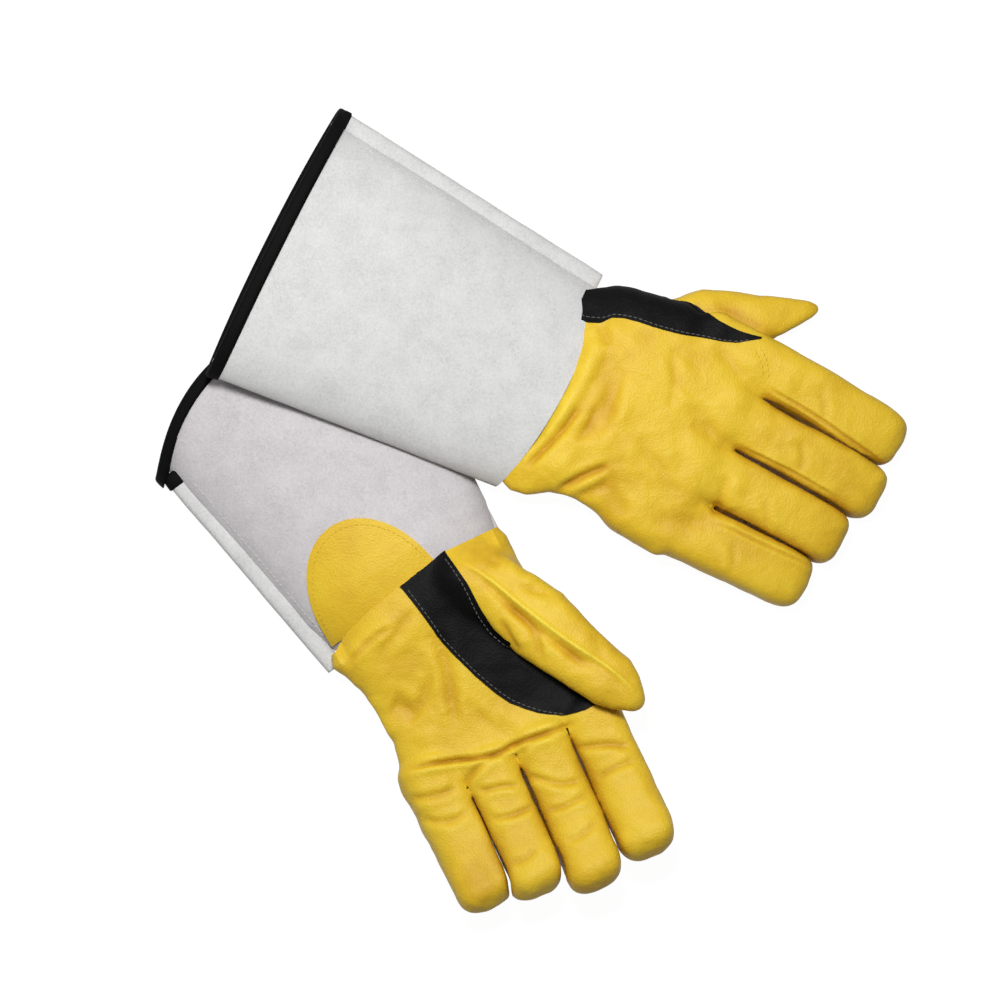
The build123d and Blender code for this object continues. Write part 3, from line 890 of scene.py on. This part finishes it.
for glove in GLOVES:
    name = glove["name"]
    for side, hand in (("little", -1), ("thumb", 1)):
        path, tall = welt_path(glove, hand)
        places, faces = capped_tube([place + oval(WELT_HALF, tall, 20) for place in path])
        piece = closed_piece(f"{name}_cuff_{side}_side_roll", placed(glove["cuff"], places),
                             faces, SUEDE, "split_leather")
        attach(piece, name + "_cuff")
        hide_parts(f"{name}_cuff_{side}_side_welt")


# -------------------- hem bindings
# Black woven tape folded over the open edge of each cuff and sewn down all the way round.
# It also wraps the ends of the two side welts.
TAPE_WEAVE = 0.8           # the size of the weave


def binding_tape():
    """Woven polyester tape: nearly black and dull, with a fine uneven weave."""
    material, shader, place = textured_material("binding_tape")
    weave = noise(material, place, scale=1000 / TAPE_WEAVE, detail=3.0, roughness=0.6)
    tone = ramp(material, weave, "Fac", ((0.35, "#020203"), (0.65, "#08080A")))
    bump = bumped(material, weave, "Fac", strength=0.5, distance=0.0003)
    return surfaced(material, shader, tone, bump, roughness=0.75, specular=0.12)


BINDING_TAPE = binding_tape()
# the fold's profile: distance from the edge towards the wrist, and height off the leather
BINDING_PROFILE = ((6.2, 0.7), (4.0, 1.0), (0.9, 1.0), (-0.5, 0.3), (-0.9, -0.9), (-0.5, -2.1),
                   (0.9, -2.8), (4.0, -2.8), (6.2, -2.5), (6.2, -1.9), (1.0, -1.9),
                   (0.3, -0.9), (1.0, 0.1), (6.2, 0.1))
# the wrap of a welt's end: share of its reach, distance beyond that, growth of the outline
WELT_WRAP = ((1, 0, -0.1), (1, -0.5, 0.75), (0.5, 0, 0.8), (0, -0.4, 0.7), (0, -1.4, -1.2))

for glove in GLOVES:
    name = glove["name"]
    ring, normal = cuff_ring(glove["halves"][-1][1], glove["halves"][1][1],
                             glove["cuff_crown"][1])
    ring[:, 1] = np.maximum(ring[:, 1], MOUTH_LIFT)
    base = np.concatenate([hem(glove, ring[:, 0])[:, None], ring], 1)
    outward = np.concatenate([np.zeros((RING, 1)), normal], 1)
    rise = sway(base, glove)
    fold = []
    for back, lift in BINDING_PROFILE:
        shrink = 1 - (CUFF_HEM_HALF - CUFF_WRIST_HALF) * back / CUFF_LENGTH / CUFF_HEM_HALF
        fold.append(base * (1, shrink, 1) + outward * (lift + rise)[:, None]
                    + np.array((back, 0, 0)))
    count = len(BINDING_PROFILE)
    index = np.arange(count * RING).reshape(count, RING)
    a, b = np.roll(index, -1, 0), np.roll(index, -1, 1)
    places = np.concatenate(fold)
    faces = np.stack([index, b, np.roll(b, -1, 0), a], -1).reshape(-1, 4).tolist()
    for hand in (-1, 1):
        path, tall = welt_path(glove, hand)
        reach = glove["welt_wrap"][hand]
        wrap, wrap_faces = capped_tube(
            [path[-1] + (share * reach + more, 0, 0.3)
             + oval(WELT_HALF + grow, tall + grow * 0.6, 24) for share, more, grow in WELT_WRAP],
            base=len(places))
        places = np.concatenate([places, wrap])
        faces += wrap_faces
    piece = closed_piece(f"{name}_cuff_hem_tape", placed(glove["cuff"], places), faces,
                         BINDING_TAPE, "binding_tape")
    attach(piece, name + "_cuff")
    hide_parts(f"{name}_cuff_hem_binding")


# -------------------- pulse patches
# A half-round of yellow grain leather is sewn over the pulse, on the palm side of each cuff,
# its straight edge under the palm.
PULSE_MIDDLE = -16.0       # its middle lies towards the little side
PULSE_HALF = 35.0
PULSE_EDGE = 4.0           # its straight edge is this far up the cuff
PULSE_LENGTH = 52.0
PULSE_SKIN = 1.2
PULSE_RINGS, PULSE_SPOKES = 26, 90


def met(tree, x, y, side=1):
    """What a look straight down (side 1) or up (side -1) meets on a skin, and its normal."""
    return tree.ray_cast(Vector((x, y, 70 * side)), Vector((0, 0, -side)))[:2]


def met_or_near(tree, x, y, side=1):
    """The same, or the nearest place where the look goes past the skin."""
    hit, normal = met(tree, x, y, side)
    if hit is None:
        hit, normal, *_ = tree.find_nearest(Vector((x, y, 14 if side > 0 else 0)))
    return hit, normal


def sheet(name, glove, part, points, grid, thickness, material, slot, side=1, fold=None):
    """A piece laid on a hand or a cuff, its outer side up (side 1) or down (side -1), from
    a grid of points in rows; also returns the grid's points and normals in their rows."""
    points, quads = np.array(points), grid_quads(*grid)
    normals = normals_of(points, quads)
    if (normals[:, 2] * side).mean() < 0:
        quads, normals = quads[:, ::-1], -normals
    piece = shell(name, *laid(glove, part, points, normals), quads, thickness, material, slot,
                  None if fold is None else np.full(len(points), fold))
    return piece, points.reshape(*grid, 3), normals.reshape(*grid, 3)


for glove in GLOVES:
    name = glove["name"]
    side = 1 if glove["palm_up"] else -1
    tree = glove["top_tree" if glove["palm_up"] else "flat_tree"]
    points = []
    for reach in np.linspace(0, 1, PULSE_RINGS) ** 0.9:
        for angle in np.radians(np.linspace(-90, 90, PULSE_SPOKES)):
            x = -PULSE_EDGE - PULSE_LENGTH * reach * max(math.cos(angle), 0) ** 0.92
            y = PULSE_MIDDLE + PULSE_HALF * reach * math.sin(angle)
            hit, normal = met_or_near(tree, x, y, side)
            if normal.z * side < 0:
                normal = -normal
            points.append(hit + normal * (PULSE_SKIN + 0.1))
    piece, points, normals = sheet(
        f"{name}_pulse_patch_leather", glove, "cuff", points, (PULSE_RINGS, PULSE_SPOKES),
        PULSE_SKIN, GRAIN_LEATHER, "grain_leather", side, fold=0.5)
    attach(piece, name + "_cuff")
    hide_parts(f"{name}_pulse_patch")
    # its outer ring but two, where the stitching runs
    glove["pulse_line"] = points[-3], normals[-3]


# -------------------- thumb-crotch patches
# A black grain-leather band doubles the glove where it wears, between thumb and fingers. It
# starts at the wrist seam and is sewn down along its edges.
BLACK_PORE = 1.3           # from one pore to the next
PATCH_SKIN = 1.2
BAND_ROWS, BAND_COLUMNS = 110, 26


def black_leather():
    """Finished grain leather: deep black, softly shining, pebbled."""
    material, shader, place = textured_material("black_leather")
    pores = pebbles(material, place, BLACK_PORE)
    tone = ramp(material, pores, "Distance", ((0.1, "#040405"), (0.8, "#0B0B0D")))
    bump = bumped(material, pores, "Distance", strength=0.35, distance=0.0004)
    return surfaced(material, shader, tone, bump, roughness=0.6, specular=0.12)


BLACK_LEATHER = black_leather()

# On the right hand the band wraps over the hand's thumb edge, then runs out to a point
# between hand and thumb; on the palm of the left hand it runs down beside the thumb.
# Stations: x, the band's two sides, and how far it wraps over the edge (1 wholly).
RIGHT["band"] = ((-6, 35.8, 60, 1), (2, 36.3, 62, 1), (8, 39.2, 65, 1), (12, 44.8, 66.5, 1),
                 (18, 47.6, 67.5, 1), (25, 49.2, 68, 1), (35, 51.0, 68, 0), (40, 52.0, 69.5, 0),
                 (45, 53.2, 72.2, 0), (50, 54.6, 72.7, 0), (57, 57.3, 71.2, 0),
                 (64, 59.6, 70.4, 0), (68.4, 60.9, 70.4, 0), (73, 62.8, 70.6, 0),
                 (77, 64.4, 71.0, 0), (82, 68.6, 71.8, 0), (87, 72.2, 72.9, 0))
LEFT["band"] = ((-9, -4.8, 25.6, 0), (0, -3.6, 26.8, 0), (10, -2.4, 27.6, 0),
                (25, -1.0, 26.7, 0), (37, 1.5, 27.2, 0), (45, 3.2, 30, 0), (52, 5, 34, 0),
                (59, 7.4, 38, 0), (66, 9.8, 41, 0), (74, 13.6, 45, 0), (80, 18.2, 48, 0),
                (86, 23.6, 51, 0), (90, 28.3, 53, 0), (93.5, 33.5, 54.5, 0),
                (96.3, 40, 55.5, 0), (97.7, 47, 56, 0))


def band_points(glove, lift):
    """The crotch patch's points, lifted off the hand's skin."""
    places, *rows = zip(*glove["band"])
    tree = glove["skin"]
    points, normals = [], []
    first, last = places[0], places[-1]
    for nominal in np.linspace(first, last, BAND_ROWS):
        near, far, wrap = (np.interp(nominal, places, row) for row in rows)
        level = None
        for share in np.linspace(0, 1, BAND_COLUMNS):
            # its wrist end follows the edge of the hand's leather
            y = near + (far - near) * share
            x = nominal
            if glove["palm_up"]:
                edge = np.interp(y, *zip(*glove["wrist_edge"])) + 0.2
                x += (edge - first) * ((last - nominal) / (last - first)) ** 4
            hit, normal = met_or_near(tree, x, y)
            # it climbs the root of the thumb; farther out it stays down and runs under it
            if glove["palm_up"]:
                climb = np.interp(x, (46, 58), (9.0, 1.1))
                if level is not None and hit.z > level + climb:
                    hit, normal = Vector((hit.x, hit.y, level + 0.2)), normals[-1]
                level = hit.z
            if wrap > 0:
                # seen from a line inside the hand's thumb edge, it goes evenly round the edge
                centre = Vector((x, far - 17, 12))
                top, _ = met(tree, x, near)
                low = math.atan2(near - centre.y, max(top.z - 12, 4) if top else 15)
                angle = low + (math.radians(86) - low) * share
                ray = Vector((0, math.sin(angle), math.cos(angle)))
                round_hit, *_ = tree.ray_cast(centre + ray * 60, -ray)
                if round_hit is not None:
                    hit, normal, *_ = tree.find_nearest(hit.lerp(round_hit, wrap))
            points.append(hit)
            normals.append(normal)
    raised = np.array(points) + np.array(normals) * lift
    eased = smoothed(raised, grid_quads(BAND_ROWS, BAND_COLUMNS), 2, 0.4)
    # its two ends keep their places
    for end in (slice(None, BAND_COLUMNS), slice(-BAND_COLUMNS, None)):
        eased[end] = raised[end]
    return eased


for glove in GLOVES:
    name = glove["name"]
    piece, *glove["band_grid"] = sheet(
        f"{name}_thumb_crotch_band", glove, "hand", band_points(glove, PATCH_SKIN + 0.15),
        (BAND_ROWS, BAND_COLUMNS), PATCH_SKIN, BLACK_LEATHER, "black_leather")
    blend_at_wrist(piece)
    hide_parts(f"{name}_thumb_crotch_patch")


# -------------------- wrist seam welts
# Inside each glove a strip of split leather is sewn over the seam that joins hand and cuff.
# It runs across the upper side, just under the hand's leather.
STRIP_SKIN = 1.4
STRIP_GAP = 2.2            # from the inside of the hand's leather to the strip
STRIP_ENDS = (-2, 16)      # from just inside the cuff to just inside the hand
STRIP_ROWS, STRIP_COLUMNS = 14, 60

for glove in GLOVES:
    name = glove["name"]
    points = []
    for x in np.linspace(*STRIP_ENDS, STRIP_ROWS):
        middle = Vector((x, 0, 8))
        for angle in np.radians(np.linspace(-70, 70, STRIP_COLUMNS)):
            ray = Vector((0, math.sin(angle), math.cos(angle)))
            hit, *_ = glove["skin"].ray_cast(middle, ray)
            points.append((hit or middle + ray * 15) - ray * (SKIN + STRIP_GAP))
    piece, *_ = sheet(f"{name}_wrist_seam_strip", glove, "hand", points,
                      (STRIP_ROWS, STRIP_COLUMNS), STRIP_SKIN, SUEDE, "split_leather")
    blend_at_wrist(piece)
    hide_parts(f"{name}_wrist_seam_welt")


# -------------------- thread
# Lockstitch in heavy thread: grey along each crotch patch, yellow round each pulse patch and
# at the right index finger's root, pale along one side of each cuff. A stitch is a small
# rounded bar whose ends dip into the leather.
STITCH = 2.2               # length of one stitch on show
PITCH = 2.9                # from one stitch to the next
STITCH_SIDES = 6
# rings along a stitch: share of its length, radius, height off the leather
STITCH_RINGS = ((0, 0.12, -0.25), (0.2, 0.26, 0.08), (0.8, 0.26, 0.08), (1, 0.12, -0.25))


def thread_material(name, colour):
    """Dull thread of one colour."""
    material, shader = new_material(name)
    shader.inputs["Base Color"].default_value = linear(colour)
    shader.inputs["Roughness"].default_value = 0.7
    shader.inputs["Specular IOR Level"].default_value = 0.2
    return material


GREY_THREAD = thread_material("grey_thread", "#5E5E5C")
YELLOW_THREAD = thread_material("yellow_thread", "#D8B83C")
PALE_THREAD = thread_material("pale_thread", "#C6C6C4")


def run_of(points):
    """Distance along a run of points, at each of them."""
    steps = np.linalg.norm(np.diff(points, axis=0), axis=1)
    return np.concatenate([[0], np.cumsum(steps)])


def stitches(name, runs, material, frame):
    """Stitches laid along runs of (points, normals), as one mesh of small rounded bars."""
    places, faces = [], []
    for points, normals in runs:
        run = run_of(points)
        for start in np.arange(1.0, run[-1] - PITCH, PITCH):
            ends = [np.array([np.interp(d, run, points[:, i]) for i in range(3)])
                    for d in (start, start + STITCH)]
            up = np.array([np.interp(start, run, normals[:, i]) for i in range(3)])
            ahead = ends[1] - ends[0]
            ahead /= np.linalg.norm(ahead)
            side = np.cross(up, ahead)
            side /= np.linalg.norm(side)
            up = np.cross(ahead, side)
            around = np.arange(STITCH_SIDES) * 2 * math.pi / STITCH_SIDES
            rings = []
            for share, radius, height in STITCH_RINGS:
                centre = ends[0] + (ends[1] - ends[0]) * share + up * height
                rings.append(centre + radius * (np.outer(np.cos(around), side)
                                                + np.outer(np.sin(around), up)))
            bar, bar_faces = capped_tube(rings, base=sum(map(len, places)))
            places.append(bar)
            faces += bar_faces
    places = placed(frame, np.concatenate(places))
    return closed_piece(name, places, faces, material, "thread")


def on_skin(tree, line, lift, step=1.5):
    """Lay a run of plan points on a skin from above, with its normals."""
    line = np.array(rounded(line), float)
    run = run_of(line)
    points, normals = [], []
    for d in np.arange(0, run[-1], step):
        x, y = (np.interp(d, run, line[:, i]) for i in (0, 1))
        hit, normal = met(tree, x, y)
        if hit is not None:
            points.append(hit + normal * lift)
            normals.append(normal)
    return np.array(points), np.array(normals)


for glove in GLOVES:
    name = glove["name"]
    # along the palm patch both edges are sewn, on the back only the one towards the fingers
    points, normals = (grid[3:-3] for grid in glove["band_grid"])
    runs = [(points[:, column] + normals[:, column] * 0.15, normals[:, column])
            for column in ((2, -3) if glove["palm_up"] else (2,))]
    piece = stitches(f"{name}_crotch_patch_stitching", runs, GREY_THREAD, glove["hand"])
    blend_at_wrist(piece)

    points, normals = (line[4:-4] for line in glove["pulse_line"])
    piece = stitches(f"{name}_pulse_patch_stitching", [(points + normals * 0.12, normals)],
                     YELLOW_THREAD, glove["cuff"])
    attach(piece, name + "_cuff")

    # beside the welt that isn't tucked under the top panel
    hand = -glove["tucked"]
    x = np.linspace(glove["cuff_front"] - glove["front_bow"] - 3,
                    hem(glove, CUFF_HEM_HALF) + 9, 60)
    line = np.stack([x, hand * (side_half(glove, x, hand) - WELT_HALF * 2 - 1.4)], 1)
    piece = stitches(f"{name}_cuff_side_stitching", [on_skin(glove["top_tree"], line, 0.12)],
                     PALE_THREAD, glove["cuff"])
    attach(piece, name + "_cuff")

# the short double row that fastens the index finger's side strip on the right hand
INDEX_ROOT_ROWS = (((88, 68.5), (93, 65.5), (98, 60), (101, 54.5)),
                   ((86, 66), (91, 63), (95.6, 58), (98.4, 53)))
piece = stitches("right_index_root_stitching",
                 [on_skin(RIGHT["skin"], row, 0.1, step=1.0) for row in INDEX_ROOT_ROWS],
                 YELLOW_THREAD, RIGHT["hand"])
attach(piece, "right_hand")


# -------------------- stand, light and camera
# A plain pale floor that shows white and keeps the gloves' shadow, a small key light high
# beyond the cuffs and a large fill light, and a long lens straight above.
FLOOR_SHARE = 0.85         # how much of the floor's look is plain white


def floor_material():
    """Pale matt floor; what the camera sees of it is mostly plain white."""
    material, shader = new_material("pale_floor")
    nodes, links = material.node_tree.nodes, material.node_tree.links
    shader.inputs["Base Color"].default_value = linear("#BEBEBE")
    shader.inputs["Roughness"].default_value = 0.9
    path = add_node(material, "ShaderNodeLightPath")
    white = add_node(material, "ShaderNodeEmission", Strength=1.14)
    white.inputs["Color"].default_value = linear("#FFFFFF")
    mix = add_node(material, "ShaderNodeMixShader")
    seen = add_node(material, "ShaderNodeMath", operation="MAXIMUM",
                    links={0: (path, "Is Camera Ray"), 1: (path, "Is Glossy Ray")})
    share = scaled(material, seen, 0, FLOOR_SHARE)
    links.new(share.outputs[0], mix.inputs["Fac"])
    links.new(shader.outputs["BSDF"], mix.inputs[1])
    links.new(white.outputs["Emission"], mix.inputs[2])
    links.new(mix.outputs["Shader"], nodes["Material Output"].inputs["Surface"])
    return material


bpy.ops.mesh.primitive_plane_add(size=8.0, location=(0, 0, 0))
floor = bpy.context.active_object
floor.name = "floor"
floor.data.materials.append(floor_material())

world = bpy.data.worlds.new("studio")
bpy.context.scene.world = world
world.use_nodes = True
world.node_tree.nodes["Background"].inputs["Color"].default_value = (1, 1, 1, 1)
world.node_tree.nodes["Background"].inputs["Strength"].default_value = 0.16


def soft_light(name, place, size, power):
    """A square light that looks at the origin."""
    lamp = bpy.data.lights.new(name, "AREA")
    lamp.size = size
    lamp.energy = power
    item = bpy.data.objects.new(name, lamp)
    item.location = place
    item.rotation_euler = (-Vector(place)).to_track_quat("-Z", "Y").to_euler()
    bpy.context.scene.collection.objects.link(item)


soft_light("key", (-0.10, 0.33, 1.13), size=0.22, power=13.0)
soft_light("fill", (-1.0, 0.9, 1.6), size=1.0, power=4.4)

camera = bpy.data.cameras.new("camera")
camera.lens = 270
camera.clip_end = 20
viewer = bpy.data.objects.new("camera", camera)
viewer.location = (-0.0178, 0.0090, 4.0)
bpy.context.scene.collection.objects.link(viewer)
bpy.context.scene.camera = viewer
bpy.context.scene.view_settings.view_transform = "Standard"
